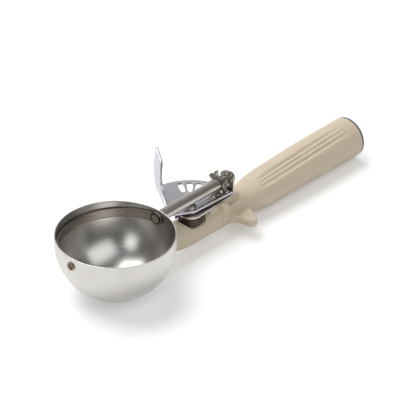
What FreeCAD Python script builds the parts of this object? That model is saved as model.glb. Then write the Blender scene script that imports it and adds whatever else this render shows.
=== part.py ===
import FreeCAD, Part
import math
import os

# Lever ice cream scoop. All lengths are millimetres and all angles are degrees.
# Every piece is drawn about the middle of the bowl: X runs along the drive shaft
# from the bowl to the handle, Z points out of the bowl's mouth, and Y points to
# the side of the thumb lever. The finished tool is then set down on its bowl and
# the end of its handle, with the origin where the bowl touches the table.

Vector = FreeCAD.Vector
X_DIR = Vector(1, 0, 0)
Y_DIR = Vector(0, 1, 0)
Z_DIR = Vector(0, 0, 1)
CENTRE = Vector(0, 0, 0)

# Bowl
bowl_radius = 33.35
bowl_wall = 0.8
rim_height = 4.95
front_bush_radius = 1.9
front_bush_flange = 2.4
front_bush_flange_thickness = 0.9
rear_bush_radius = 3.4

# Fits, all on the radius: fixed pieces, turning pieces, and moulded pockets
press_gap = 0.01
running_gap = 0.05
mould_gap = 0.02
overcut = 1.0

# Scraper blade, a band inside the bowl
blade_gap = 0.5
blade_thickness = 0.7
blade_width = 5.4
blade_ear_radius = 4.0
blade_rest_angle = -5.0
pin_radius = 1.2
pin_head_radius = 2.1
pin_start = -33.9
pin_seat = 0.12
pin_head_end = 0.9
blade_collar_radius = 3.4

# Drive shaft
shaft_radius = 2.5
barrel_radius = 3.3
barrel_start = 35.6
barrel_end = 79.8
journal_radius = 1.9
shaft_start = 30.4
journal_start = 85.2
shaft_end = 90.7
collar_radius = 3.4
collar_start = 82.35
collar_end = 84.5
washer_radius = 3.3
washer_start = 89.2
washer_end = 89.6
nut_radius = 3.7
nut_end = 91.6
nut_rounding = 0.9

# Pinion
pinion_teeth = 8
pinion_middle = 81.18
pinion_thickness = 2.2
pinion_root_radius = 4.3
pinion_tip_radius = 7.5
tooth_width = 1.7
tooth_phase = 27.0
gear_ratio = 3.6

# Thumb lever: flat sector with slots, bent up into a tab along the fold line
pivot_x = 58.5
plate_top = -5.6
plate_thickness = 1.2
sector_near_angle = -11.4
hub_radius = 4.6
slot_first_angle = -5.0
slot_count = 6
slot_inner = 17.6
slot_full = 20.5
slot_outer = 25.9
slot_half_width = 1.65
slot_inner_half_width = 1.25
slot_corner = 0.9
fold_angle = 58.5
fold_distance = 10.3
fold_inner = -4.6
fold_outer = 26.57
bend_radius = 3.1
relief_radius = 6.2
relief_along = 27.2
relief_z = -3.2
tab_foot = (3.5, 1.2)
tab_inner = ((9.4, 5.5), (10.6, 12.1), (9.7, 18.2), (9.0, 20.6))
tab_crown = ((12.9, 22.3), (17.4, 23.6), (20.2, 24.3), (21.8, 23.0), (22.6, 20.0))
tab_outer = ((24.8, 12.7), (25.8, 6.8), (24.4, 1.6))

# Lever pivot
pivot_shank_radius = 2.0
pivot_foot_z = -24.0
pivot_head_radius = 2.7
pivot_head_low = -4.0
pivot_head_top = -3.5
lever_bush_radius = 3.2
lever_bush_flange = 4.3
lever_bush_flange_thickness = 0.55
lever_bush_top = -4.15
thrust_washer_radius = 4.6
thrust_washer_gap = 0.05

# Bearing bracket under the lever, with an upturned ear for the shaft
bracket_top = -8.2
bracket_thickness = 1.2
bracket_round = 6.8
bracket_bend = 1.5
ear_front = 87.6
ear_half_width = 5.1
ear_bush_radius = 3.0
ear_bush_flange = 3.9
ear_bush_flange_thickness = 0.9
ear_bush_end = 88.9
rivet_x = 74.0
rivet_radius = 1.6
rivet_head_radius = 2.9
rivet_head_height = 1.0
rivet_foot_z = -16.5

# Return spring
wire_radius = 0.5
coil_radius = 6.75
coil_turns = 4
coil_bottom = -14.4
coil_top = -9.95
spring_hole_x = 49.6
spring_hole_y = 2.7
spring_hole_clearance = 0.3
spring_tail_length = 10.5
spring_end_above_lever = 0.9
sleeve_radius = 3.1

# Tang between the bowl and the handle
tang_z = -19.5
tang_thickness = 1.6
tang_width = 8.0
tang_start = 20.0
tang_end = 104.0
tang_pad_radius = 5.5

# Handle. The form is (X, depth of the middle below the shaft, radius).
grip_form = ((20.0, 19.0, 7.1), (30.0, 19.0, 7.15), (38.0, 19.1, 7.25), (44.0, 19.3, 7.8),
             (50.0, 19.6, 8.45), (56.0, 19.7, 8.45), (66.0, 19.7, 8.4), (78.0, 19.7, 8.4),
             (90.0, 19.7, 8.4), (97.0, 19.7, 8.45), (101.0, 19.7, 8.8), (104.5, 19.65, 9.75),
             (108.0, 19.55, 10.5), (112.0, 19.4, 10.95), (117.0, 19.2, 11.2),
             (124.0, 19.0, 11.42), (133.0, 18.7, 11.6), (146.0, 18.4, 11.82),
             (160.0, 18.2, 12.05), (174.0, 18.2, 12.2), (188.8, 18.2, 12.35))
grip_step = 4.2
grip_blend = 3.0
grip_end = 191.0
grip_shoulder = (190.45, 12.27)
grip_end_drop = 18.2
grip_end_radius = 12.1
seat_start = 69.5
seat_end = 93.5
seat_half_width = 5.3
seat_depth = 8.0
seat_rounding = 1.0
pocket_radius = 8.3
grip_bore_radius = 8.0
grip_bore_start = 124.0

# Shallow grooves, each (front X, front angle, rear X, rear angle) from the grip's top
groove_lines = ((111.0, -19.5, 180.0, -11.5),
                (110.0, -32.0, 181.5, -24.5),
                (109.5, -44.5, 182.0, -37.0))
groove_cutter_radius = 1.3
groove_depth = 0.5

# Rib, web, small hollow and finger guard on the near side of the neck
rib_corner = (76.2, -9.4, -20.6)
rib_size = (4.2, 5.6, 11.2)
rib_rounding = 0.9
web_corner = (79.5, -8.3, -20.6)
web_size = (12.5, 5.6, 8.4)
hollow_middle = (85.0, -8.9, -15.2)
hollow_radius = 2.3
guard_top = -19.4
guard_height = 5.2
guard_rounding = 1.2
guard_root_y = -4.0
guard_outline = ((77.0, -4.0), (79.5, -6.8), (83.0, -8.2), (85.7, -10.6), (86.6, -14.0),
                 (87.0, -17.0), (88.3, -19.6), (90.8, -20.3), (93.3, -18.9), (94.9, -16.3),
                 (95.8, -13.6), (96.6, -11.2), (98.6, -8.2), (102.5, -6.2))

# End cap
cap_thickness = 1.3
cap_rounding = 0.5
plug_length = 8.0
plug_wall = 1.8
plug_floor = 1.0

plate_bottom = plate_top - plate_thickness
bracket_bottom = bracket_top - bracket_thickness
pocket_floor = coil_bottom - wire_radius - 0.1
slot_pitch = 360.0 / pinion_teeth / gear_ratio
cap_end = grip_end + cap_thickness
blade_inside = bowl_radius - bowl_wall - blade_gap - blade_thickness

os.makedirs("parts", exist_ok=True)


def rest_pitch():
    """Angle that brings the rear of the grip down to the table."""
    rest_x, rest_drop, rest_radius = grip_form[-1]
    low = rest_drop + rest_radius
    reach = math.hypot(rest_x, low)
    return math.degrees(math.asin(bowl_radius / reach) - math.asin(low / reach))


def save(name, shape):
    """Set one piece down with the tool and write it."""
    placed = shape.copy()
    placed.rotate(CENTRE, Y_DIR, rest_pitch())
    placed.translate(Vector(0, 0, bowl_radius))
    placed.exportStep("parts/" + name + ".step")


def rod(radius, start, end, z=0.0):
    """Round bar along X."""
    return Part.makeCylinder(radius, end - start, Vector(start, 0, z), X_DIR)


def post(radius, low, high, x=pivot_x, y=0.0):
    """Round bar along Z."""
    return Part.makeCylinder(radius, high - low, Vector(x, y, low), Z_DIR)


def ring_along_x(radius, bore, start, end):
    return rod(radius, start, end).cut(rod(bore, start - overcut, end + overcut))


def ring_along_z(radius, bore, low, high):
    return post(radius, low, high).cut(post(bore, low - overcut, high + overcut))


def block(x, y, z, size):
    """Box from its lowest corner."""
    return Part.makeBox(size[0], size[1], size[2], Vector(x, y, z))


def prism(outline, depth):
    """Straight-sided solid over a closed outline of points or edges."""
    if isinstance(outline[0], Vector):
        wire = Part.makePolygon(outline + [outline[0]])
    else:
        wire = Part.Wire(outline)
    return Part.Face(wire).extrude(depth)


def spline_edge(points):
    curve = Part.BSplineCurve()
    curve.interpolate(points)
    return curve.toShape()


def arc_edge(start, middle, end):
    return Part.Arc(start, middle, end).toShape()


def shell_between(inner, outer):
    """Hollow ball."""
    return Part.makeSphere(outer).cut(Part.makeSphere(inner))


def polar(angle, radius=1.0):
    """Point in the XY plane at an angle from X."""
    turn = math.radians(angle)
    return Vector(radius * math.cos(turn), radius * math.sin(turn), 0)


def make_bowl():
    """Half ball with a short straight wall and a round lip."""
    inner = bowl_radius - bowl_wall
    lip = bowl_wall / 2
    diagonal = math.sqrt(0.5)
    outer_foot = Vector(0, 0, -bowl_radius)
    inner_foot = Vector(0, 0, -inner)
    outer_wall = Vector(bowl_radius, 0, 0)
    inner_wall = Vector(inner, 0, 0)
    outer_lip = Vector(bowl_radius, 0, rim_height - lip)
    inner_lip = Vector(inner, 0, rim_height - lip)
    crest = Vector(bowl_radius - lip, 0, rim_height)
    edges = [arc_edge(outer_foot, Vector(bowl_radius, 0, -bowl_radius) * diagonal, outer_wall),
             Part.makeLine(outer_wall, outer_lip),
             arc_edge(outer_lip, crest, inner_lip),
             Part.makeLine(inner_lip, inner_wall),
             arc_edge(inner_wall, Vector(inner, 0, -inner) * diagonal, inner_foot),
             Part.makeLine(inner_foot, outer_foot)]
    bowl = Part.Face(Part.Wire(edges)).revolve(CENTRE, Z_DIR, 360)
    bowl = bowl.cut(rod(front_bush_radius + press_gap, -bowl_radius - overcut, -inner + overcut))
    return bowl.cut(rod(rear_bush_radius + press_gap, inner - overcut, bowl_radius + overcut))


def make_front_bush():
    """Eyelet in the front wall of the bowl, with its flange outside."""
    face = -bowl_radius - front_bush_flange_thickness
    barrel = rod(front_bush_radius, -bowl_radius, -bowl_radius + bowl_wall + 0.2)
    flange = rod(front_bush_flange, face, -bowl_radius)
    front_edge = [edge for edge in flange.Edges if abs(edge.CenterOfMass.x - face) < 0.01]
    flange = flange.makeFillet(0.35, front_edge)
    bush = barrel.fuse(flange).removeSplitter()
    bush = bush.cut(rod(pin_radius + running_gap, face - overcut, -bowl_radius + 3))
    mouth = Part.makeCone(pin_radius + 0.55, pin_radius, 0.6, Vector(face - 0.01, 0, 0), X_DIR)
    return bush.cut(mouth)


def make_rear_bush():
    return ring_along_x(rear_bush_radius, shaft_radius + running_gap,
                        bowl_radius - bowl_wall + 0.05, bowl_radius + 1.1)


def make_blade():
    """Half-round band just inside the bowl, with a round ear at each pivot."""
    outer = blade_inside + blade_thickness
    ball = shell_between(blade_inside, outer)
    band = block(-bowl_radius, 0, -blade_width / 2, (2 * bowl_radius, bowl_radius, blade_width))
    ears = rod(blade_ear_radius, -bowl_radius, bowl_radius)
    blade = ball.common(band.fuse(ears).removeSplitter())
    blade = blade.cut(rod(pin_radius + press_gap, -bowl_radius, 0))
    blade = blade.cut(rod(shaft_radius + press_gap, 0, bowl_radius))
    blade.rotate(CENTRE, X_DIR, blade_rest_angle)
    return blade


def make_front_pin():
    """Short pin that carries the front ear of the blade in the eyelet."""
    seat = -blade_inside + pin_seat
    head = rod(pin_head_radius, seat, -blade_inside + pin_head_end)
    return head.fuse(rod(pin_radius, pin_start, seat)).removeSplitter()


def make_blade_collar():
    """Ring that holds the rear ear of the blade on the shaft."""
    return ring_along_x(blade_collar_radius, shaft_radius + press_gap,
                        shaft_start + 0.1, blade_inside - 0.25)


def make_shaft():
    """Drive shaft, thicker between the bowl and the pinion, thinner in the ear."""
    main = rod(shaft_radius, shaft_start, journal_start)
    main = main.fuse(rod(barrel_radius, barrel_start, barrel_end))
    return main.fuse(rod(journal_radius, journal_start, shaft_end)).removeSplitter()


def make_pinion():
    """Eight round-tipped fingers on a hub."""
    start = pinion_middle - pinion_thickness / 2
    half = tooth_width / 2
    shoulder = pinion_tip_radius - half
    low_foot = Vector(start, 0, -half)
    low_shoulder = Vector(start, shoulder, -half)
    high_shoulder = Vector(start, shoulder, half)
    high_foot = Vector(start, 0, half)
    edges = [Part.makeLine(low_foot, low_shoulder),
             arc_edge(low_shoulder, Vector(start, pinion_tip_radius, 0), high_shoulder),
             Part.makeLine(high_shoulder, high_foot),
             Part.makeLine(high_foot, low_foot)]
    finger = prism(edges, Vector(pinion_thickness, 0, 0))
    gear = rod(pinion_root_radius, start, start + pinion_thickness)
    for tooth in range(pinion_teeth):
        turned_finger = finger.copy()
        turned_finger.rotate(CENTRE, X_DIR, tooth_phase + tooth * 360.0 / pinion_teeth)
        gear = gear.fuse(turned_finger)
    bore = rod(shaft_radius + press_gap, start - overcut, start + pinion_thickness + overcut)
    return gear.removeSplitter().cut(bore)


def make_shaft_nut():
    """Domed nut that closes the shaft behind the bracket's ear."""
    nut = rod(nut_radius, washer_end, nut_end)
    rim = [edge for edge in nut.Edges if abs(edge.CenterOfMass.x - nut_end) < 0.01]
    nut = nut.makeFillet(nut_rounding, rim)
    return nut.cut(rod(journal_radius + press_gap, washer_end - overcut, shaft_end + press_gap))


def make_ear_bush():
    """Flanged bush in the ear, flange on the side of the pinion."""
    barrel = rod(ear_bush_radius, ear_front, ear_bush_end)
    flange = rod(ear_bush_flange, ear_front - ear_bush_flange_thickness, ear_front)
    bush = barrel.fuse(flange).removeSplitter()
    return bush.cut(rod(journal_radius + running_gap, journal_start, shaft_end + overcut))


def bracket_strip():
    """Flat strip, round about the lever's pivot and tapering to the ear."""
    low = bracket_bottom
    corner = ear_front - bracket_bend
    taper = math.degrees(math.asin((bracket_round - ear_half_width) / (corner - pivot_x)))
    tangent = polar(90 - taper, bracket_round) + Vector(pivot_x, 0, low)
    tangent_below = Vector(tangent.x, -tangent.y, low)
    side = Vector(corner, ear_half_width, low)
    side_below = Vector(corner, -ear_half_width, low)
    edges = [Part.makeLine(side, tangent),
             arc_edge(tangent, Vector(pivot_x - bracket_round, 0, low), tangent_below),
             Part.makeLine(tangent_below, side_below),
             Part.makeLine(side_below, side)]
    strip = prism(edges, Vector(0, 0, bracket_thickness))
    strip = strip.cut(post(pivot_shank_radius + press_gap, low - overcut, bracket_top + overcut))
    strip = strip.cut(post(rivet_radius + press_gap, low - overcut, bracket_top + overcut, rivet_x))
    sink = Part.makeCone(rivet_radius, rivet_head_radius, rivet_head_height,
                         Vector(rivet_x, 0, bracket_top - rivet_head_height), Z_DIR)
    return strip.cut(sink)


def make_bracket():
    """Strip with a round end under the lever and an upturned ear for the shaft."""
    corner = ear_front - bracket_bend
    width = 2 * ear_half_width
    outer = bracket_bend + bracket_thickness
    bend_top = bracket_top + bracket_bend
    knee_middle = Vector(corner, -ear_half_width, bend_top)
    knee = Part.makeCylinder(outer, width, knee_middle, Y_DIR)
    knee = knee.cut(Part.makeCylinder(bracket_bend, width, knee_middle, Y_DIR))
    knee = knee.common(block(corner, -ear_half_width, bracket_bottom, (outer, width, outer)))
    low_near = Vector(ear_front, -ear_half_width, bend_top)
    high_near = Vector(ear_front, -ear_half_width, 0)
    low_far = Vector(ear_front, ear_half_width, bend_top)
    high_far = Vector(ear_front, ear_half_width, 0)
    edges = [Part.makeLine(low_near, high_near),
             arc_edge(high_near, Vector(ear_front, 0, ear_half_width), high_far),
             Part.makeLine(high_far, low_far),
             Part.makeLine(low_far, low_near)]
    ear = prism(edges, Vector(bracket_thickness, 0, 0))
    bracket = bracket_strip().fuse(knee).fuse(ear).removeSplitter()
    return bracket.cut(rod(ear_bush_radius + press_gap, ear_front - 2, ear_bush_end + overcut))


def make_pivot_pin():
    """Upright pin on which the lever turns, with its head just under the shaft."""
    head = post(pivot_head_radius, pivot_head_low, pivot_head_top)
    return head.fuse(post(pivot_shank_radius, pivot_foot_z, pivot_head_low)).removeSplitter()


def make_lever_bush():
    """Flanged bush pressed up into the lever's hub."""
    flange = post(lever_bush_flange, plate_bottom - lever_bush_flange_thickness, plate_bottom)
    barrel = post(lever_bush_radius, plate_bottom, lever_bush_top)
    bush = flange.fuse(barrel).removeSplitter()
    return bush.cut(post(pivot_shank_radius + running_gap, bracket_bottom, 0))


def make_thrust_washer():
    """Thin washer on which the lever's bush turns."""
    top = plate_bottom - lever_bush_flange_thickness - thrust_washer_gap
    return ring_along_z(thrust_washer_radius, pivot_shank_radius + press_gap, bracket_top, top)


def make_spring_sleeve():
    """Spacer inside the coil, between the handle and the bracket."""
    return ring_along_z(sleeve_radius, pivot_shank_radius + press_gap, pocket_floor, bracket_bottom)


def make_bracket_rivet():
    """Flush rivet that holds the bracket down on the neck."""
    seat = bracket_top - rivet_head_height
    shank = post(rivet_radius, rivet_foot_z, seat, rivet_x)
    head = Part.makeCone(rivet_radius, rivet_head_radius - press_gap, rivet_head_height,
                         Vector(rivet_x, 0, seat), Z_DIR)
    return shank.fuse(head).removeSplitter()


def make_spring():
    """Torsion coil with one leg in the handle and one up through the lever."""
    reach = math.hypot(spring_hole_x - pivot_x, spring_hole_y)
    hole_angle = math.degrees(math.atan2(spring_hole_y, spring_hole_x - pivot_x))
    leave_angle = hole_angle - math.degrees(math.acos(coil_radius / reach))
    rise = coil_top - coil_bottom
    turns = coil_turns + (leave_angle - 90.0) / 360.0
    path = Part.Wire(Part.makeHelix(rise / turns, rise, coil_radius).Edges)
    section = Part.Wire([Part.makeCircle(wire_radius, Vector(coil_radius, 0, 0), Y_DIR)])
    coil = path.makePipeShell([section], True, True)
    coil.rotate(CENTRE, Z_DIR, 90)
    coil.translate(Vector(pivot_x, 0, coil_bottom))
    foot = Vector(pivot_x, coil_radius, coil_bottom)
    leave = Vector(pivot_x, 0, coil_top) + polar(leave_angle, coil_radius)
    corner = Vector(spring_hole_x, spring_hole_y, coil_top)
    lead = corner - leave
    rise_above = plate_top + spring_end_above_lever - coil_top
    return coil.fuse([Part.makeCylinder(wire_radius, lead.Length, leave, lead),
                      Part.makeCylinder(wire_radius, spring_tail_length, foot, X_DIR),
                      Part.makeCylinder(wire_radius, rise_above, corner, Z_DIR),
                      Part.makeSphere(wire_radius, corner),
                      Part.makeSphere(wire_radius, leave),
                      Part.makeSphere(wire_radius, foot)])


def fold_frame():
    """Origin, length direction and normal of the lever's fold line."""
    along = polar(fold_angle)
    normal = Vector(along.y, -along.x, 0)
    return Vector(pivot_x, 0, 0) - normal * fold_distance, along, normal


def slot_cutter(angle):
    """Radial slot, narrower and round at its inner end."""
    low = plate_bottom - overcut
    wide = slot_half_width
    slim = slot_inner_half_width
    turn = slot_outer - slot_corner
    bow = slot_corner * math.sqrt(0.5)
    flat = wide - slot_corner

    def at(x, y):
        return Vector(x, y, low)

    edges = [Part.makeLine(at(slot_inner, -slim), at(slot_full, -wide)),
             Part.makeLine(at(slot_full, -wide), at(turn, -wide)),
             arc_edge(at(turn, -wide), at(turn + bow, -flat - bow), at(slot_outer, -flat)),
             Part.makeLine(at(slot_outer, -flat), at(slot_outer, flat)),
             arc_edge(at(slot_outer, flat), at(turn + bow, flat + bow), at(turn, wide)),
             Part.makeLine(at(turn, wide), at(slot_full, wide)),
             Part.makeLine(at(slot_full, wide), at(slot_inner, slim)),
             arc_edge(at(slot_inner, slim), at(slot_inner - slim, 0), at(slot_inner, -slim))]
    cutter = prism(edges, Vector(0, 0, plate_thickness + 2 * overcut))
    cutter.rotate(CENTRE, Z_DIR, angle)
    cutter.translate(Vector(pivot_x, 0, 0))
    return cutter


def make_lever_plate():
    """Flat sector with the rack slots and the hub."""
    start, along, normal = fold_frame()
    pivot = Vector(pivot_x, 0, plate_bottom)
    inner = start + along * fold_inner + Vector(0, 0, plate_bottom)
    outer = start + along * fold_outer + Vector(0, 0, plate_bottom)
    rim_radius = (outer - pivot).Length
    outer_angle = math.degrees(math.atan2(outer.y, outer.x - pivot_x))
    near = pivot + polar(sector_near_angle, rim_radius)
    middle = pivot + polar((outer_angle + sector_near_angle) / 2, rim_radius)
    hub_foot = pivot + polar(-90, hub_radius)
    hub_side = pivot + polar(-116.6, hub_radius)
    hub_front = pivot + polar(-143.1, hub_radius)
    edges = [Part.makeLine(inner, outer),
             arc_edge(outer, middle, near),
             Part.makeLine(near, hub_foot),
             arc_edge(hub_foot, hub_side, hub_front),
             Part.makeLine(hub_front, inner)]
    plate = prism(edges, Vector(0, 0, plate_thickness))
    for number in range(slot_count):
        plate = plate.cut(slot_cutter(slot_first_angle + number * slot_pitch))
    return plate


def make_lever_tab():
    """Upturned thumb tab along the fold, with its bend."""
    start, along, normal = fold_frame()
    outer_radius = bend_radius + plate_thickness
    bend_z = plate_bottom + outer_radius
    length = fold_outer - fold_inner
    foot = start + along * fold_inner + Vector(0, 0, bend_z)
    reach = normal * (2 * outer_radius)
    depth = Vector(0, 0, 2 * outer_radius)
    bend = Part.makeCylinder(outer_radius, length, foot, along)
    bend = bend.cut(Part.makeCylinder(bend_radius, length, foot, along))
    bend = bend.common(prism([foot - reach - depth, foot - depth, foot, foot - reach],
                             along * length))
    face = start - normal * outer_radius

    def at(point):
        return face + along * point[0] + Vector(0, 0, point[1])

    waist = (relief_along - math.sqrt(relief_radius ** 2 - (bend_z - relief_z) ** 2), bend_z)
    corner = (fold_inner, bend_z)
    inner_points = [at(point) for point in (corner, tab_foot) + tab_inner]
    crown_points = [at(point) for point in tab_inner[-1:] + tab_crown]
    outer_points = [at(point) for point in tab_crown[-1:] + tab_outer + (waist,)]
    edges = [spline_edge(inner_points), spline_edge(crown_points), spline_edge(outer_points),
             Part.makeLine(at(waist), at(corner))]
    tab = prism(edges, normal * plate_thickness)
    middle = at((relief_along, relief_z)) - normal
    relief = Part.makeCylinder(relief_radius, outer_radius + 0.95, middle, normal)
    return bend.cut(relief).fuse(tab)


def make_lever():
    lever = make_lever_plate().fuse(make_lever_tab()).removeSplitter()
    lever = lever.cut(post(lever_bush_radius + press_gap, bracket_bottom, 0))
    return lever.cut(post(wire_radius + spring_hole_clearance, bracket_bottom, 0,
                          spring_hole_x, spring_hole_y))


def tang_shape(gap):
    """Welded pad and the strip behind it, grown by a gap on every side."""
    pad = shell_between(bowl_radius + press_gap, bowl_radius + tang_thickness + gap)
    pad = pad.common(rod(tang_pad_radius + gap, tang_start, bowl_radius + tang_thickness, tang_z))
    bar = block(tang_start, -tang_width / 2 - gap, tang_z - tang_thickness / 2 - gap,
                (tang_end - tang_start + gap, tang_width + 2 * gap, tang_thickness + 2 * gap))
    bar = bar.cut(Part.makeSphere(bowl_radius + press_gap))
    return pad.fuse(bar).removeSplitter()


def make_tang():
    """Strip welded to the bowl that runs back inside the handle."""
    return tang_shape(0).cut(post(pivot_shank_radius + press_gap, pivot_foot_z, 0))


def grip_between(x):
    """Straight-line depth and radius at a place along the grip."""
    place = min(max(x, grip_form[0][0]), grip_form[-1][0])
    behind = [section for section in grip_form if section[0] <= place][-1]
    ahead = [section for section in grip_form if section[0] >= place][0]
    share = (place - behind[0]) / max(ahead[0] - behind[0], 1.0)
    return [first + share * (second - first) for first, second in zip(behind[1:], ahead[1:])]


def grip_at(x):
    """Depth of the grip's middle and its radius, blended over a few millimetres."""
    near = min(x - grip_form[0][0], grip_form[-1][0] - x, grip_blend)
    around = [grip_between(x + share * near) for share in (-1.0, -0.5, 0.0, 0.5, 1.0)]
    return [sum(values) / len(around) for values in zip(*around)]


def grip_solid():
    """Outer form of the neck and the grip, with a turned and rounded end."""
    start = grip_form[0][0]
    count = round((grip_form[-1][0] - start) / grip_step)
    sections = []
    for number in range(count + 1):
        x = start + (grip_form[-1][0] - start) * number / count
        drop, radius = grip_at(x)
        sections.append(Part.Wire([Part.makeCircle(radius, Vector(x, 0, -drop), X_DIR)]))
    form = Part.makeLoft(sections, True, False)
    last_x, last_drop, last_radius = grip_form[-1]
    inner = Vector(last_x, 0, -last_drop)
    edge = Vector(last_x, 0, last_radius - last_drop)
    shoulder = Vector(grip_shoulder[0], 0, grip_shoulder[1] - last_drop)
    rim = Vector(grip_end, 0, grip_end_radius - last_drop)
    rear_middle = Vector(grip_end, 0, -last_drop)
    outline = Part.Wire([Part.makeLine(inner, edge), arc_edge(edge, shoulder, rim),
                         Part.makeLine(rim, rear_middle), Part.makeLine(rear_middle, inner)])
    return form.fuse(Part.Face(outline).revolve(inner, X_DIR, 360))


def eased_block(corner, size, rounding):
    """Box with its upright edges rounded."""
    made = block(*corner, size)
    uprights = [edge for edge in made.Edges
                if abs(edge.Length - size[2]) < 0.01 and abs(edge.tangentAt(0).z) > 0.9]
    return made.makeFillet(rounding, uprights)


def bracket_seat():
    """Raised pad of the neck on which the bracket lies."""
    top = bracket_bottom - mould_gap
    return eased_block((seat_start, -seat_half_width, top - seat_depth),
                       (seat_end - seat_start, 2 * seat_half_width, seat_depth), seat_rounding)


def make_finger_guard():
    """Horn on the near side for the first finger."""
    points = [Vector(x, y, guard_top) for x, y in guard_outline]
    root = Vector(points[-1].x, guard_root_y, guard_top)
    outline = spline_edge(points)
    horn = prism([outline, Part.makeLine(points[-1], root), Part.makeLine(root, points[0])],
                 Vector(0, 0, -guard_height))
    long_edges = [edge for edge in horn.Edges if abs(edge.Length - outline.Length) < 0.01]
    return horn.makeFillet(guard_rounding, long_edges)


def groove_cutter(front_x, front_angle, rear_x, rear_angle):
    """Round-ended bar that cuts one shallow groove along the grip."""
    ends = []
    for x, angle in ((front_x, front_angle), (rear_x, rear_angle)):
        drop, radius = grip_at(x)
        height = radius - groove_depth + groove_cutter_radius
        turn = math.radians(angle)
        ends.append(Vector(x, height * math.sin(turn), height * math.cos(turn) - drop))
    along = ends[1] - ends[0]
    bar = Part.makeCylinder(groove_cutter_radius, along.Length, ends[0], along)
    return bar.fuse([Part.makeSphere(groove_cutter_radius, end) for end in ends])


def make_handle():
    """Moulded neck and grip in one piece, with a pocket for the spring."""
    body = grip_solid().cut(Part.makeSphere(bowl_radius + mould_gap))
    body = body.fuse(bracket_seat()).fuse(eased_block(rib_corner, rib_size, rib_rounding))
    body = body.fuse(eased_block(web_corner, web_size, rib_rounding)).fuse(make_finger_guard())
    body = body.cut(post(pocket_radius, pocket_floor, 0))
    body = body.cut(Part.makeSphere(hollow_radius, Vector(*hollow_middle)))
    for line in groove_lines:
        body = body.cut(groove_cutter(*line))
    body = body.cut(rod(grip_bore_radius, grip_bore_start, grip_end + overcut, -grip_end_drop))
    body = body.cut(tang_shape(mould_gap))
    body = body.cut(post(pivot_shank_radius + press_gap, pivot_foot_z - mould_gap, 0))
    body = body.cut(post(rivet_radius + press_gap, rivet_foot_z - mould_gap, 0, rivet_x))
    leg_width = 2 * wire_radius + 0.3
    tail_slot = block(pivot_x, coil_radius - leg_width / 2, pocket_floor,
                      (spring_tail_length + 0.9, leg_width, 2 * wire_radius + 0.2))
    return body.cut(tail_slot).removeSplitter()


def make_end_cap():
    """Grey plug that closes the hollow grip."""
    seat = grip_end + press_gap
    disc = rod(grip_end_radius, seat, cap_end, -grip_end_drop)
    rim = [edge for edge in disc.Edges if abs(edge.CenterOfMass.x - cap_end) < 0.01]
    disc = disc.makeFillet(cap_rounding, rim)
    plug = rod(grip_bore_radius - mould_gap, grip_end - plug_length, seat, -grip_end_drop)
    plug = plug.cut(rod(grip_bore_radius - plug_wall, grip_end - plug_length - overcut,
                        grip_end - plug_floor, -grip_end_drop))
    return disc.fuse(plug).removeSplitter()


pieces = {
    "bowl": make_bowl(),
    "front_bush": make_front_bush(),
    "rear_bush": make_rear_bush(),
    "handle_tang": make_tang(),
    "handle": make_handle(),
    "end_cap": make_end_cap(),
    "bearing_bracket": make_bracket(),
    "bracket_rivet": make_bracket_rivet(),
    "ear_bush": make_ear_bush(),
    "pivot_pin": make_pivot_pin(),
    "spring_sleeve": make_spring_sleeve(),
    "thrust_washer": make_thrust_washer(),
    "drive_shaft": make_shaft(),
    "scraper_blade": make_blade(),
    "front_pin": make_front_pin(),
    "blade_collar": make_blade_collar(),
    "pinion": make_pinion(),
    "pinion_collar": ring_along_x(collar_radius, shaft_radius + press_gap,
                                  collar_start, collar_end),
    "shaft_washer": ring_along_x(washer_radius, journal_radius + press_gap,
                                 washer_start, washer_end),
    "shaft_nut": make_shaft_nut(),
    "thumb_lever": make_lever(),
    "lever_bush": make_lever_bush(),
    "return_spring": make_spring(),
}

for piece_name, piece_shape in pieces.items():
    save(piece_name, piece_shape)
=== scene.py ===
import math

import bmesh
import bpy
from mathutils import Matrix, Vector


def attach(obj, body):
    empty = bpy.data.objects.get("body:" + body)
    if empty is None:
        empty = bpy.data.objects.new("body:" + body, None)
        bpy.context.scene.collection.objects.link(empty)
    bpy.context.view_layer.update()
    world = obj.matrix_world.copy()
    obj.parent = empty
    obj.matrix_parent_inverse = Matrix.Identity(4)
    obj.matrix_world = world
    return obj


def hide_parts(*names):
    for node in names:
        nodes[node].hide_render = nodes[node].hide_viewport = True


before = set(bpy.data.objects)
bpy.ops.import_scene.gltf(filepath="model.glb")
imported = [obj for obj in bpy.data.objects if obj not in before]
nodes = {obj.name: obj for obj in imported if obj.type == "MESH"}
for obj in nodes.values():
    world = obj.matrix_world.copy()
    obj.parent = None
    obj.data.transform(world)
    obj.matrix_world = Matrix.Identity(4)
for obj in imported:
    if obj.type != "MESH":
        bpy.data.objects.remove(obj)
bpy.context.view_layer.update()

# Sizes in millimetres, about the middle of the bowl, as in the part's source.
# X runs along the drive shaft to the handle, Y to the thumb lever, Z out of the bowl.
MM = 0.001
bowl_radius = 33.35
bowl_wall = 0.8
rim_height = 4.95
pinion_teeth = 8
pinion_middle = 81.18
pinion_thickness = 2.2
pinion_root_radius = 4.3
pinion_tip_radius = 7.5
tooth_width = 1.7
tooth_phase = 27.0
pivot_x = 58.5
wire_radius = 0.5
coil_radius = 6.75
coil_turns = 4
coil_bottom = -14.4
coil_top = -9.95
spring_hole_x = 49.6
spring_hole_y = 2.7
spring_tail_length = 10.5
spring_end_z = -4.75
grip_drop = 18.2
rest_x = 188.8
rest_radius = 12.35

# The tool lies on its bowl and the rear of its grip, with its shaft tipped down.
rest_low = grip_drop + rest_radius
rest_reach = math.hypot(rest_x, rest_low)
rest_pitch = math.asin(bowl_radius / rest_reach) - math.asin(rest_low / rest_reach)
LAID = Matrix.Translation((0, 0, bowl_radius * MM)) @ Matrix.Rotation(rest_pitch, 4, "Y")
PLACED = LAID @ Matrix.Diagonal((MM, MM, MM, 1))

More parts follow.
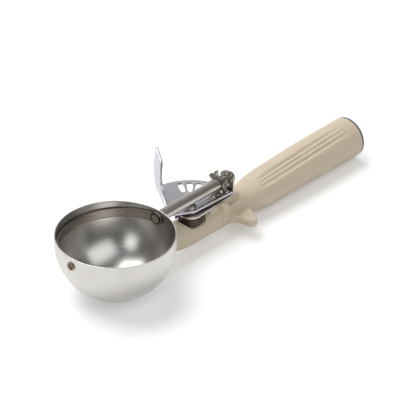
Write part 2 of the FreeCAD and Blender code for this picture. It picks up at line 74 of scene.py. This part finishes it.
# Surfaces: depths in metres of the metal's lines and the plastic's skin, how far that skin's
# roughness changes, the painted shade that darkens the bowl's colour inside, and the blend at its
# lip
grain_depth = 0.00002
skin_depth = 0.00004
skin_change = 0.05
inside_painted_shade = 0.82
wall_blend = 0.1

# Meshes: corners nearer than these metres are joined, edges flatter or sharper than these
# degrees are taken out or eased, then the grid of the handle's moulding in millimetres with
# its passes of smoothing, and the steps round the bowl, up its wall and over its lip
merge_distance = 2e-7
sliver_length = 1e-7
flat_angle = 0.4
eased_angle = 50.0
moulding_voxel = 0.5
moulding_passes = 6
bowl_steps = 192
wall_steps = 72
lip_steps = 10

# The room's glow, and the lamps: name, azimuth and elevation in degrees, distance and
# sides in metres, watts
horizon_glow = 0.60
room_glow = 0.06
far_glow = 0.50
far_side = (0.69, 0.72, 0.0)
floor_glow = 0.25
floor_grey = 0.86
floor_half = 3.0
floor_drop = 0.0002
lamp_aim = (0.05, 0.0, 0.0)
lamps = [
    ("lamp_above", 105, 66, 1.40, (1.2, 1.0), 17.5),
    ("lamp_left", -171, 30, 1.20, (0.45, 0.60), 1.9),
    ("lamp_right", -92, 50, 1.20, (1.30, 0.70), 4.6),
]

# The camera, fitted to the photograph: the point that it turns about, its distance and focal
# length in pixels, and the picture's width and principal point in pixels
camera_aim = (60, 0, -10)
camera_azimuth = -45.986
camera_elevation = 33.231
camera_distance = 1570.4521
focal_pixels = 2818.4903
picture_pixels = 416
principal_x = 192.3291
principal_y = 213.0441
sensor_width = 36.0


# Materials

def new_material(name):
    made = bpy.data.materials.new(name)
    made.use_nodes = True
    tree = made.node_tree
    tree.nodes.clear()
    output = tree.nodes.new("ShaderNodeOutputMaterial")
    surface = tree.nodes.new("ShaderNodeBsdfPrincipled")
    tree.links.new(surface.outputs["BSDF"], output.inputs["Surface"])
    return made, tree, surface


def tool_coordinates(tree):
    """Object coordinates turned back to the tool's own axes, in millimetres."""
    coordinate = tree.nodes.new("ShaderNodeTexCoord")
    mapping = tree.nodes.new("ShaderNodeMapping")
    mapping.vector_type = "TEXTURE"
    mapping.inputs["Location"].default_value = (0, 0, bowl_radius * MM)
    mapping.inputs["Rotation"].default_value = (0, rest_pitch, 0)
    mapping.inputs["Scale"].default_value = (MM, MM, MM)
    tree.links.new(coordinate.outputs["Object"], mapping.inputs["Vector"])
    return mapping.outputs["Vector"]


def moved(tree, vector, location=(0, 0, 0), scale=(1, 1, 1)):
    mapping = tree.nodes.new("ShaderNodeMapping")
    mapping.inputs["Location"].default_value = location
    mapping.inputs["Scale"].default_value = scale
    tree.links.new(vector, mapping.inputs["Vector"])
    return mapping.outputs["Vector"]


def noise(tree, vector, scale, detail=3.0, roughness=0.5):
    made = tree.nodes.new("ShaderNodeTexNoise")
    made.inputs["Scale"].default_value = scale
    made.inputs["Detail"].default_value = detail
    made.inputs["Roughness"].default_value = roughness
    tree.links.new(vector, made.inputs["Vector"])
    return made.outputs["Fac"]


def spread(tree, value, low, high, start=0.3, end=0.7):
    """Map a value from start..end to low..high."""
    made = tree.nodes.new("ShaderNodeMapRange")
    made.inputs["From Min"].default_value = start
    made.inputs["From Max"].default_value = end
    made.inputs["To Min"].default_value = low
    made.inputs["To Max"].default_value = high
    tree.links.new(value, made.inputs["Value"])
    return made.outputs["Result"]


def two_tone(tree, value, dark, light):
    ramp = tree.nodes.new("ShaderNodeValToRGB")
    ramp.color_ramp.elements[0].position = 0.3
    ramp.color_ramp.elements[0].color = (*dark, 1)
    ramp.color_ramp.elements[1].position = 0.7
    ramp.color_ramp.elements[1].color = (*light, 1)
    tree.links.new(value, ramp.inputs["Fac"])
    return ramp.outputs["Color"]


def bumped(tree, surface, height, strength, distance):
    bump = tree.nodes.new("ShaderNodeBump")
    bump.inputs["Strength"].default_value = strength
    bump.inputs["Distance"].default_value = distance
    tree.links.new(height, bump.inputs["Height"])
    tree.links.new(bump.outputs["Normal"], surface.inputs["Normal"])


def round_about(tree, vector, along):
    """(distance from an axis, place along it, 0), so that a pattern runs round the axis."""
    separate = tree.nodes.new("ShaderNodeSeparateXYZ")
    tree.links.new(vector, separate.inputs["Vector"])
    across = [axis for axis in "XYZ" if axis != along]
    flat = tree.nodes.new("ShaderNodeCombineXYZ")
    tree.links.new(separate.outputs[across[0]], flat.inputs["X"])
    tree.links.new(separate.outputs[across[1]], flat.inputs["Y"])
    length = tree.nodes.new("ShaderNodeVectorMath")
    length.operation = "LENGTH"
    tree.links.new(flat.outputs["Vector"], length.inputs[0])
    combine = tree.nodes.new("ShaderNodeCombineXYZ")
    tree.links.new(length.outputs["Value"], combine.inputs["X"])
    tree.links.new(separate.outputs[along], combine.inputs["Y"])
    return combine.outputs["Vector"]


def steel(name, dark, light, rough_low, rough_high, grain, grain_scale, bump_strength,
          about=None):
    """Steel with fine finishing lines; grain is 'X', 'Y' or 'Z', the way that they run,
    or about names the axis that they run round."""
    made, tree, surface = new_material(name)
    vector = tool_coordinates(tree)
    if about:
        lines = moved(tree, round_about(tree, vector, about), scale=(grain_scale, grain_scale, 1))
    else:
        stretch = {"X": (0.02, 1, 1), "Y": (1, 0.02, 1), "Z": (1, 1, 0.02)}[grain]
        lines = moved(tree, vector, scale=[part * grain_scale for part in stretch])
    fine = noise(tree, lines, 1.0, 5.0, 0.65)
    cloud = noise(tree, moved(tree, vector, location=(3.1, 7.7, 1.9)), 0.09, 3.0)
    surface.inputs["Metallic"].default_value = 1.0
    tree.links.new(two_tone(tree, cloud, dark, light), surface.inputs["Base Color"])
    tree.links.new(spread(tree, fine, rough_low, rough_high), surface.inputs["Roughness"])
    bumped(tree, surface, fine, bump_strength, grain_depth)
    return made


def bowl_steel():
    """Satin outside, brighter polish inside under a painted shade that darkens the inside's
    colour, with the lines of polishing round the mouth.
    """
    made, tree, surface = new_material("bowl_satin_steel")
    vector = tool_coordinates(tree)
    rings = moved(tree, round_about(tree, vector, "Z"), scale=(5.0, 5.0, 1))
    fine = noise(tree, rings, 1.0, 6.0, 0.6)
    cloud = noise(tree, moved(tree, vector, location=(11.0, 2.0, 5.0)), 0.07, 2.0)
    distance = tree.nodes.new("ShaderNodeVectorMath")
    distance.operation = "LENGTH"
    tree.links.new(vector, distance.inputs[0])
    wall_middle = bowl_radius - bowl_wall / 2
    outside = spread(tree, distance.outputs["Value"], 0.0, 1.0, wall_middle - wall_blend,
                     wall_middle + wall_blend)
    inner_rough = spread(tree, fine, 0.25, 0.33)
    outer_rough = spread(tree, fine, 0.30, 0.42)
    mixed = tree.nodes.new("ShaderNodeMix")
    mixed.data_type = "FLOAT"
    tree.links.new(outside, mixed.inputs[0])
    tree.links.new(inner_rough, mixed.inputs[2])
    tree.links.new(outer_rough, mixed.inputs[3])
    surface.inputs["Metallic"].default_value = 1.0
    tree.links.new(mixed.outputs[0], surface.inputs["Roughness"])
    # Painted shade: the base colour is scaled down inside the bowl to darken its hollow
    shade = tree.nodes.new("ShaderNodeVectorMath")
    shade.operation = "SCALE"
    tree.links.new(two_tone(tree, cloud, (0.57, 0.555, 0.535), (0.62, 0.605, 0.585)),
                   shade.inputs[0])
    tree.links.new(spread(tree, outside, inside_painted_shade, 1.0, 0.0, 1.0), shade.inputs["Scale"])
    tree.links.new(shade.outputs["Vector"], surface.inputs["Base Color"])
    bumped(tree, surface, fine, 0.25, grain_depth)
    return made


def moulded_plastic(name, dark, light, roughness, speckle):
    """Plain moulded plastic with a faint flow pattern and a fine matt skin."""
    made, tree, surface = new_material(name)
    vector = tool_coordinates(tree)
    flow = noise(tree, moved(tree, vector, scale=(0.25, 1, 1)), 0.16, 4.0)
    skin = noise(tree, vector, speckle, 2.0)
    tree.links.new(two_tone(tree, flow, dark, light), surface.inputs["Base Color"])
    tree.links.new(spread(tree, skin, roughness - skin_change, roughness + skin_change),
                   surface.inputs["Roughness"])
    surface.inputs["Specular IOR Level"].default_value = 0.35
    bumped(tree, surface, skin, 0.12, skin_depth)
    return made


bowl_finish = bowl_steel()
blade_finish = steel("blade_steel", (0.34, 0.30, 0.26), (0.42, 0.38, 0.33), 0.30, 0.40,
                     "X", 4.0, 0.2, about="Z")
shaft_finish = steel("polished_shaft_steel", (0.46, 0.43, 0.40), (0.54, 0.51, 0.47),
                     0.26, 0.36, "X", 3.0, 0.08)
lever_finish = steel("plated_lever_steel", (0.50, 0.495, 0.53), (0.57, 0.565, 0.60),
                     0.28, 0.38, "X", 2.0, 0.15)
bracket_finish = steel("polished_bracket_steel", (0.40, 0.37, 0.34), (0.52, 0.49, 0.45),
                       0.18, 0.28, "X", 2.5, 0.15)
gear_finish = steel("pinion_steel", (0.42, 0.38, 0.34), (0.55, 0.51, 0.46), 0.18, 0.30,
                    "X", 3.0, 0.2, about="X")
spring_finish = steel("dark_spring_steel", (0.065, 0.050, 0.040), (0.13, 0.10, 0.080),
                      0.26, 0.40, "Z", 2.0, 0.3)
pin_finish = steel("dark_pin_steel", (0.08, 0.065, 0.055), (0.14, 0.11, 0.09), 0.25, 0.4,
                   "X", 2.0, 0.2)
brass_finish = steel("brass_eyelet", (0.24, 0.15, 0.085), (0.36, 0.24, 0.15), 0.24, 0.36,
                     "X", 4.0, 0.2, about="X")
tang_finish = steel("tang_steel", (0.50, 0.49, 0.47), (0.60, 0.59, 0.57), 0.25, 0.38,
                    "X", 2.5, 0.2)
handle_finish = moulded_plastic("ivory_handle_plastic", (0.590, 0.500, 0.380),
                                (0.625, 0.535, 0.412), 0.46, 9.0)
cap_finish = moulded_plastic("blue_grey_cap_plastic", (0.120, 0.145, 0.160),
                             (0.150, 0.178, 0.195), 0.42, 9.0)


# Making and finishing meshes

def shown(name, mesh, body, finish, stands_for, smooth_angle=35.0):
    """Put a mesh, already in place, on its body with its finish."""
    piece = bpy.data.objects.new(name, mesh)
    bpy.context.scene.collection.objects.link(piece)
    mesh.materials.clear()
    mesh.materials.append(finish)
    mesh.polygons.foreach_set("use_smooth", [True] * len(mesh.polygons))
    mesh.set_sharp_from_angle(angle=math.radians(smooth_angle))
    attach(piece, body)
    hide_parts(*stands_for)
    return piece


def baked(holder):
    """Plain mesh from an object's finished modifiers; the holder goes."""
    graph = bpy.context.evaluated_depsgraph_get()
    mesh = bpy.data.meshes.new_from_object(holder.evaluated_get(graph))
    bpy.data.objects.remove(holder)
    return mesh


def merged_copy(node):
    """Copy of a node's mesh with its loose triangles joined up."""
    shell = bmesh.new()
    shell.from_mesh(nodes[node].data)
    bmesh.ops.remove_doubles(shell, verts=shell.verts, dist=merge_distance)
    bmesh.ops.dissolve_degenerate(shell, edges=shell.edges, dist=sliver_length)
    mesh = bpy.data.meshes.new(node + "_copy")
    shell.to_mesh(mesh)
    shell.free()
    return mesh


def edged(node, name, body, finish, width, segments=2):
    """A node's own form with its sharp edges eased."""
    mesh = merged_copy(node)
    shell = bmesh.new()
    shell.from_mesh(mesh)
    bmesh.ops.dissolve_limit(shell, angle_limit=math.radians(flat_angle), verts=shell.verts,
                             edges=shell.edges, delimit={"NORMAL"})
    shell.to_mesh(mesh)
    shell.free()
    holder = bpy.data.objects.new(name + "_form", mesh)
    bpy.context.scene.collection.objects.link(holder)
    bevel = holder.modifiers.new("eased_edges", "BEVEL")
    bevel.width = width * MM
    bevel.segments = segments
    bevel.limit_method = "ANGLE"
    bevel.angle_limit = math.radians(eased_angle)
    bevel.use_clamp_overlap = True
    return shown(name, baked(holder), body, finish, [node])


def turned(name, profile, axis, steps, body, finish, stands_for):
    """Closed ring of (place along the axis, radius) points turned about X or Z."""
    shell = bmesh.new()
    rings = []
    for place, radius in profile:
        ring = []
        for step in range(steps):
            angle = 2 * math.pi * step / steps
            across, up = radius * math.cos(angle), radius * math.sin(angle)
            point = Vector((place, across, up)) if axis == "X" else Vector((across, up, place))
            ring.append(shell.verts.new(PLACED @ point))
        rings.append(ring)
    for first, second in zip(rings, rings[1:] + rings[:1]):
        for step in range(steps):
            after = (step + 1) % steps
            shell.faces.new((first[step], first[after], second[after], second[step]))
    bmesh.ops.remove_doubles(shell, verts=shell.verts, dist=sliver_length)
    bmesh.ops.dissolve_degenerate(shell, edges=shell.edges, dist=sliver_length)
    bmesh.ops.recalc_face_normals(shell, faces=shell.faces)
    mesh = bpy.data.meshes.new(name)
    shell.to_mesh(mesh)
    shell.free()
    return shown(name, mesh, body, finish, stands_for)


def arc(middle, radius, start, end, steps):
    """(along, out) points of an arc, angles in degrees from the outward direction."""
    angles = [math.radians(start + (end - start) * step / steps) for step in range(steps + 1)]
    return [(middle[0] + radius * math.sin(a), middle[1] + radius * math.cos(a)) for a in angles]


# Geometry node trees

def node_tree(name, inputs):
    """Geometry tree with named size inputs, closed by Realize Instances and Set Material."""
    tree = bpy.data.node_groups.new(name, "GeometryNodeTree")
    tree.interface.new_socket("Geometry", in_out="INPUT", socket_type="NodeSocketGeometry")
    for label, value in inputs.items():
        kind = "NodeSocketInt" if isinstance(value, int) else "NodeSocketFloat"
        made = tree.interface.new_socket(label, in_out="INPUT", socket_type=kind)
        made.default_value = value
    tree.interface.new_socket("Geometry", in_out="OUTPUT", socket_type="NodeSocketGeometry")
    start = tree.nodes.new("NodeGroupInput")
    end = tree.nodes.new("NodeGroupOutput")
    return tree, start, end


def add(tree, kind, **links):
    """New node with its inputs linked or set by name."""
    made = tree.nodes.new(kind)
    for label, value in links.items():
        socket = made.inputs[label.replace("_", " ")]
        if isinstance(value, bpy.types.NodeSocket):
            tree.links.new(value, socket)
        else:
            socket.default_value = value
    return made


def grown(name, tree, inputs):
    """Mesh that a geometry tree makes from its sizes."""
    holder = bpy.data.objects.new(name + "_holder", bpy.data.meshes.new(name + "_seed"))
    bpy.context.scene.collection.objects.link(holder)
    modifier = holder.modifiers.new(name + "_rule", "NODES")
    modifier.node_group = tree
    for item in tree.interface.items_tree:
        if item.item_type == "SOCKET" and item.in_out == "INPUT" and item.name in inputs:
            modifier[item.identifier] = inputs[item.name]
    mesh = baked(holder)
    mesh.transform(PLACED)
    return mesh


def closed_tree(tree, end, geometry, finish):
    realize = add(tree, "GeometryNodeRealizeInstances", Geometry=geometry)
    paint = add(tree, "GeometryNodeSetMaterial", Geometry=realize.outputs["Geometry"])
    paint.inputs["Material"].default_value = finish
    tree.links.new(paint.outputs["Geometry"], end.inputs["Geometry"])


def math_of(tree, operation, first, second):
    made = tree.nodes.new("ShaderNodeMath")
    made.operation = operation
    for socket, value in zip(made.inputs, (first, second)):
        if isinstance(value, bpy.types.NodeSocket):
            tree.links.new(value, socket)
        else:
            socket.default_value = value
    return made.outputs["Value"]


def pinion_mesh():
    """Hub ring with round-tipped fingers, repeated about the shaft."""
    inputs = {"Teeth": pinion_teeth, "Root": pinion_root_radius, "Tip": pinion_tip_radius,
              "Width": tooth_width, "Thickness": pinion_thickness, "Middle": pinion_middle,
              "Phase": math.radians(tooth_phase)}
    tree, start, end = node_tree("pinion_rule", inputs)
    hub = add(tree, "GeometryNodeMeshCylinder", Vertices=64, Radius=start.outputs["Root"],
              Depth=start.outputs["Thickness"])
    hub_turn = add(tree, "GeometryNodeTransform", Geometry=hub.outputs["Mesh"],
                   Rotation=(0, math.pi / 2, 0))
    half = math_of(tree, "DIVIDE", start.outputs["Width"], 2.0)
    shoulder = math_of(tree, "SUBTRACT", start.outputs["Tip"], half)
    shank = add(tree, "GeometryNodeMeshCube")
    shank_size = add(tree, "ShaderNodeCombineXYZ", X=start.outputs["Thickness"], Y=shoulder,
                     Z=start.outputs["Width"])
    tree.links.new(shank_size.outputs["Vector"], shank.inputs["Size"])
    shank_place = add(tree, "ShaderNodeCombineXYZ", Y=math_of(tree, "DIVIDE", shoulder, 2.0))
    shank_moved = add(tree, "GeometryNodeTransform", Geometry=shank.outputs["Mesh"],
                      Translation=shank_place.outputs["Vector"])
    tip = add(tree, "GeometryNodeMeshCylinder", Vertices=32, Radius=half,
              Depth=start.outputs["Thickness"])
    tip_place = add(tree, "ShaderNodeCombineXYZ", Y=shoulder)
    tip_moved = add(tree, "GeometryNodeTransform", Geometry=tip.outputs["Mesh"],
                    Translation=tip_place.outputs["Vector"], Rotation=(0, math.pi / 2, 0))
    finger = add(tree, "GeometryNodeJoinGeometry", Geometry=shank_moved.outputs["Geometry"])
    tree.links.new(tip_moved.outputs["Geometry"], finger.inputs["Geometry"])
    points = add(tree, "GeometryNodeMeshLine", Count=start.outputs["Teeth"], Offset=(0, 0, 0))
    index = add(tree, "GeometryNodeInputIndex")
    step = math_of(tree, "DIVIDE", 2 * math.pi, start.outputs["Teeth"])
    turn = math_of(tree, "ADD", math_of(tree, "MULTIPLY", index.outputs["Index"], step),
                   start.outputs["Phase"])
    euler = add(tree, "ShaderNodeCombineXYZ", X=turn)
    fingers = add(tree, "GeometryNodeInstanceOnPoints", Points=points.outputs["Mesh"],
                  Instance=finger.outputs["Geometry"], Rotation=euler.outputs["Vector"])
    joined = add(tree, "GeometryNodeJoinGeometry", Geometry=hub_turn.outputs["Geometry"])
    tree.links.new(fingers.outputs["Instances"], joined.inputs["Geometry"])
    place = add(tree, "ShaderNodeCombineXYZ", X=start.outputs["Middle"])
    placed = add(tree, "GeometryNodeTransform", Geometry=joined.outputs["Geometry"],
                 Translation=place.outputs["Vector"])
    closed_tree(tree, end, placed.outputs["Geometry"], gear_finish)
    return grown("pinion", tree, inputs)


def spring_mesh():
    """Close coil about the lever's pin, one leg in the handle and one up through the lever."""
    reach = math.hypot(spring_hole_x - pivot_x, spring_hole_y)
    hole_angle = math.atan2(spring_hole_y, spring_hole_x - pivot_x)
    leave_angle = hole_angle - math.acos(coil_radius / reach)
    turns = coil_turns + (leave_angle - math.pi / 2) / (2 * math.pi)
    inputs = {"Wire": wire_radius, "Coil": coil_radius, "Turns": turns,
              "Rise": coil_top - coil_bottom, "Tail": spring_tail_length}
    tree, start, end = node_tree("spring_rule", inputs)
    coil = add(tree, "GeometryNodeCurveSpiral", Resolution=64, Rotations=start.outputs["Turns"],
               Start_Radius=start.outputs["Coil"], End_Radius=start.outputs["Coil"],
               Height=start.outputs["Rise"])
    coil_placed = add(tree, "GeometryNodeTransform", Geometry=coil.outputs["Curve"],
                      Translation=(pivot_x, 0, coil_bottom), Rotation=(0, 0, math.pi / 2))
    foot = Vector((pivot_x, coil_radius, coil_bottom))
    tail_end = add(tree, "ShaderNodeCombineXYZ",
                   X=math_of(tree, "ADD", start.outputs["Tail"], pivot_x), Y=foot.y, Z=foot.z)
    tail = add(tree, "GeometryNodeCurvePrimitiveLine", Start=foot, End=tail_end.outputs["Vector"])
    leave = Vector((pivot_x + coil_radius * math.cos(leave_angle),
                    coil_radius * math.sin(leave_angle), coil_top))
    corner = Vector((spring_hole_x, spring_hole_y, coil_top))
    lead = add(tree, "GeometryNodeCurvePrimitiveLine", Start=leave, End=corner)
    rise = add(tree, "GeometryNodeCurvePrimitiveLine", Start=corner,
               End=Vector((spring_hole_x, spring_hole_y, spring_end_z)))
    joint = add(tree, "GeometryNodeMeshUVSphere", Segments=16, Rings=8,
                Radius=start.outputs["Wire"])
    joint_placed = add(tree, "GeometryNodeTransform", Geometry=joint.outputs["Mesh"],
                       Translation=corner)
    wires = add(tree, "GeometryNodeJoinGeometry", Geometry=coil_placed.outputs["Geometry"])
    for line in (tail, lead, rise):
        tree.links.new(line.outputs["Curve"], wires.inputs["Geometry"])
    section = add(tree, "GeometryNodeCurvePrimitiveCircle", Resolution=14,
                  Radius=start.outputs["Wire"])
    tube = add(tree, "GeometryNodeCurveToMesh", Curve=wires.outputs["Geometry"],
               Profile_Curve=section.outputs["Curve"], Fill_Caps=True)
    joined = add(tree, "GeometryNodeJoinGeometry", Geometry=tube.outputs["Mesh"])
    tree.links.new(joint_placed.outputs["Geometry"], joined.inputs["Geometry"])
    closed_tree(tree, end, joined.outputs["Geometry"], spring_finish)
    return grown("spring", tree, inputs)


# Bowl, one turned shell with a rounded lip

def make_bowl():
    inner = bowl_radius - bowl_wall
    lip = bowl_wall / 2
    outside = arc((0, 0), bowl_radius, -90, 0, wall_steps)
    outside[0] = (-bowl_radius, 0.0)
    crest = arc((rim_height - lip, bowl_radius - lip), lip, 0, 180, lip_steps)
    inside = arc((0, 0), inner, 0, -90, wall_steps)
    inside[-1] = (-inner, 0.0)
    profile = outside + crest + inside
    return turned("bowl_shell", profile, "Z", bowl_steps, "frame", bowl_finish,
                  ["bowl"])


make_bowl()


# Handle, softened as a moulding is

def make_handle():
    holder = bpy.data.objects.new("handle_form", merged_copy("handle"))
    bpy.context.scene.collection.objects.link(holder)
    remesh = holder.modifiers.new("moulding", "REMESH")
    remesh.mode = "VOXEL"
    remesh.voxel_size = moulding_voxel * MM
    smooth = holder.modifiers.new("draft", "SMOOTH")
    smooth.factor = 0.5
    smooth.iterations = moulding_passes
    mesh = baked(holder)
    return shown("moulded_handle", mesh, "frame", handle_finish, ["handle"],
                 smooth_angle=180.0)


make_handle()


# Pinion and spring from their rules

shown("pinion_gear", pinion_mesh(), "shaft", gear_finish, ["pinion"])
shown("wound_spring", spring_mesh(), "lever", spring_finish, ["return_spring"])


# Pieces that keep their own form, with eased edges

edged("thumb_lever", "lever_sheet", "lever", lever_finish, 0.22)
edged("bearing_bracket", "bracket_strip", "frame", bracket_finish, 0.2)
edged("scraper_blade", "blade_band", "shaft", blade_finish, 0.12)
edged("end_cap", "cap_disc", "frame", cap_finish, 0.1)

kept_finishes = {
    "front_bush": brass_finish,
    "thrust_washer": pin_finish,
    "front_pin": pin_finish,
    "rear_bush": bracket_finish,
    "handle_tang": tang_finish,
    "bracket_rivet": bracket_finish,
    "ear_bush": bracket_finish,
    "pivot_pin": shaft_finish,
    "spring_sleeve": spring_finish,
    "drive_shaft": shaft_finish,
    "blade_collar": pin_finish,
    "pinion_collar": gear_finish,
    "shaft_washer": gear_finish,
    "shaft_nut": shaft_finish,
    "lever_bush": bracket_finish,
}
for node_name, finish in kept_finishes.items():
    nodes[node_name].data.materials.clear()
    nodes[node_name].data.materials.append(finish)


# Floor, white to the camera and in reflections, with the tool's own shadow

def stage_material():
    made = bpy.data.materials.new("white_sweep")
    made.use_nodes = True
    tree = made.node_tree
    tree.nodes.clear()
    output = tree.nodes.new("ShaderNodeOutputMaterial")
    matt = tree.nodes.new("ShaderNodeBsdfDiffuse")
    matt.inputs["Color"].default_value = (floor_grey, floor_grey, floor_grey, 1)
    glow = tree.nodes.new("ShaderNodeEmission")
    path = tree.nodes.new("ShaderNodeLightPath")
    seen = tree.nodes.new("ShaderNodeMath")
    seen.operation = "MAXIMUM"
    tree.links.new(path.outputs["Is Camera Ray"], seen.inputs[0])
    tree.links.new(path.outputs["Is Glossy Ray"], seen.inputs[1])
    both = tree.nodes.new("ShaderNodeMath")
    both.operation = "MAXIMUM"
    tree.links.new(seen.outputs["Value"], both.inputs[0])
    tree.links.new(path.outputs["Is Transmission Ray"], both.inputs[1])
    level = tree.nodes.new("ShaderNodeMath")
    level.operation = "MULTIPLY"
    level.inputs[1].default_value = floor_glow
    tree.links.new(both.outputs["Value"], level.inputs[0])
    tree.links.new(level.outputs["Value"], glow.inputs["Strength"])
    joined = tree.nodes.new("ShaderNodeAddShader")
    tree.links.new(matt.outputs["BSDF"], joined.inputs[0])
    tree.links.new(glow.outputs["Emission"], joined.inputs[1])
    tree.links.new(joined.outputs["Shader"], output.inputs["Surface"])
    return made


def make_floor():
    corners = [(-1, -1), (1, -1), (1, 1), (-1, 1)]
    mesh = bpy.data.meshes.new("floor")
    mesh.from_pydata([(floor_half * x, floor_half * y, -floor_drop) for x, y in corners],
                     [], [(0, 1, 2, 3)])
    mesh.materials.append(stage_material())
    floor = bpy.data.objects.new("floor", mesh)
    bpy.context.scene.collection.objects.link(floor)


make_floor()


# Light: a dim room with a pale far side, one broad lamp above and two beside the camera

def make_world():
    world = bpy.data.worlds.new("pale_room")
    bpy.context.scene.world = world
    world.use_nodes = True
    tree = world.node_tree
    tree.nodes.clear()
    output = tree.nodes.new("ShaderNodeOutputWorld")
    background = tree.nodes.new("ShaderNodeBackground")
    coordinate = tree.nodes.new("ShaderNodeTexCoord")
    separate = tree.nodes.new("ShaderNodeSeparateXYZ")
    tree.links.new(coordinate.outputs["Generated"], separate.inputs["Vector"])
    low = spread(tree, separate.outputs["Z"], horizon_glow, room_glow, 0.04, 0.32)
    beyond = tree.nodes.new("ShaderNodeVectorMath")
    beyond.operation = "DOT_PRODUCT"
    beyond.inputs[1].default_value = far_side
    tree.links.new(coordinate.outputs["Generated"], beyond.inputs[0])
    far = spread(tree, beyond.outputs["Value"], 0.0, far_glow, 0.1, 0.8)
    whole = tree.nodes.new("ShaderNodeMath")
    whole.operation = "ADD"
    tree.links.new(low, whole.inputs[0])
    tree.links.new(far, whole.inputs[1])
    background.inputs["Color"].default_value = (1.0, 0.995, 0.985, 1)
    tree.links.new(whole.outputs["Value"], background.inputs["Strength"])
    tree.links.new(background.outputs["Background"], output.inputs["Surface"])


def make_lamp(name, azimuth, elevation, distance, size, watts):
    """Area lamp, set off from the tool in a direction in degrees from X and aimed at it."""
    around, up = math.radians(azimuth), math.radians(elevation)
    way = Vector((math.cos(up) * math.cos(around), math.cos(up) * math.sin(around),
                  math.sin(up)))
    lamp = bpy.data.lights.new(name, "AREA")
    lamp.shape = "RECTANGLE"
    lamp.size, lamp.size_y = size
    lamp.energy = watts
    holder = bpy.data.objects.new(name, lamp)
    bpy.context.scene.collection.objects.link(holder)
    turn = way.to_track_quat("Z", "Y").to_matrix().to_4x4()
    holder.matrix_world = Matrix.Translation(Vector(lamp_aim) + way * distance) @ turn


make_world()
for lamp_values in lamps:
    make_lamp(*lamp_values)


# Camera, placed as the photograph was taken

def make_camera():
    azimuth = math.radians(camera_azimuth)
    elevation = math.radians(camera_elevation)
    back = Vector((math.sin(azimuth) * math.cos(elevation),
                   -math.cos(azimuth) * math.cos(elevation), math.sin(elevation)))
    right = Vector((math.cos(azimuth), math.sin(azimuth), 0))
    up = back.cross(right)
    place = (Vector(camera_aim) + back * camera_distance) * MM
    turn = Matrix((right, up, back)).transposed().to_4x4()
    data = bpy.data.cameras.new("camera")
    data.sensor_width = sensor_width
    data.lens = focal_pixels * sensor_width / picture_pixels
    data.shift_x = 0.5 - principal_x / picture_pixels
    data.shift_y = principal_y / picture_pixels - 0.5
    data.clip_start = 0.05
    data.clip_end = 20.0
    camera = bpy.data.objects.new("camera", data)
    bpy.context.scene.collection.objects.link(camera)
    camera.matrix_world = LAID @ Matrix.Translation(place) @ turn
    bpy.context.scene.camera = camera


make_camera()
bpy.context.scene.view_settings.view_transform = "Standard"
